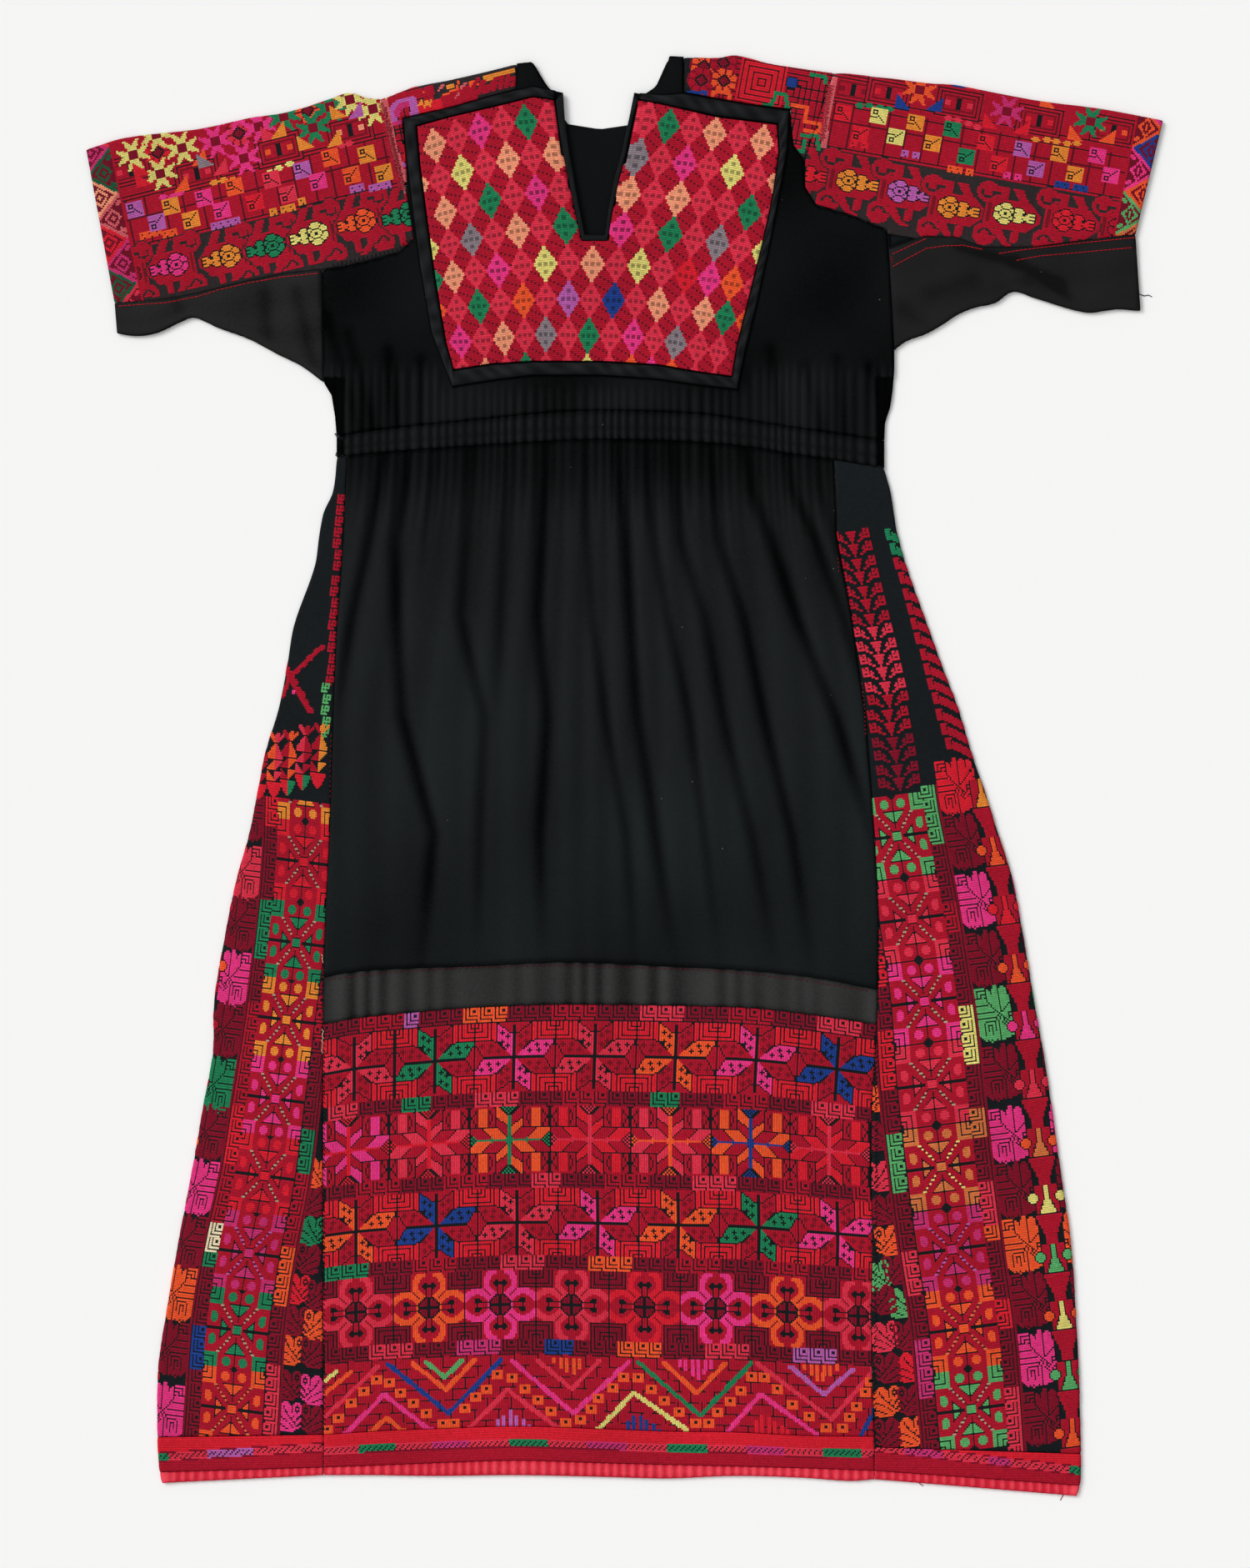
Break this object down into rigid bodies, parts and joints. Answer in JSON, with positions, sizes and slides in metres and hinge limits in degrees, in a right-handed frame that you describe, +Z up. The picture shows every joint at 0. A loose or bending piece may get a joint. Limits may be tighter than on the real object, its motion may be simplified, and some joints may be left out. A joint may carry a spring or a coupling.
{
  "type": "embroidered dress laid out flat",
  "caption": "Long black cotton dress with red cross-stitch chest panel, sleeves, side panels and hem, a gathered waist and an open neck slit, laid out flat.",
  "frame": {"origin": "middle of the laid-out dress, on the surface it lies on", "axes": "+X across the dress to the sleeve on the right as seen from above, +Y from hem to neck, +Z up from the surface"},
  "size_m": [0.9382, 1.2554, 0.0066],
  "materials": {
    "black_cotton": "matte plain weave",
    "faded_cotton": "matte plain weave, worn",
    "black_satin": "satin binding",
    "cross_stitch": "dense cross stitch in crimson cotton thread with coloured accents",
    "coral_cotton": "matte plain weave, puckered"
  },
  "bodies": {
    "root": {"bodice_front": "black_cotton", "bodice_back": "black_cotton", "slit_binding": "black_cotton", "waist_front": "black_cotton", "waist_back": "black_cotton", "skirt_front": "black_cotton", "skirt_back": "black_cotton", "skirt_strip": "faded_cotton", "gusset_left": "faded_cotton", "gusset_right": "faded_cotton", "chest_binding": "black_satin", "chest_panel": "cross_stitch", "shoulder_left": "cross_stitch", "shoulder_right": "cross_stitch", "sleeve_left": "cross_stitch", "sleeve_right": "cross_stitch", "side_panel_left": "cross_stitch", "side_panel_right": "cross_stitch", "hem_panel": "cross_stitch", "hem_panel_back": "cross_stitch", "hem_band_front": "cross_stitch", "hem_band_back": "cross_stitch", "hem_band_left": "cross_stitch", "hem_band_right": "cross_stitch", "hem_facing_front": "coral_cotton", "hem_facing_back": "coral_cotton", "hem_facing_left": "coral_cotton", "hem_facing_right": "coral_cotton"}
  },
  "joints": []
}
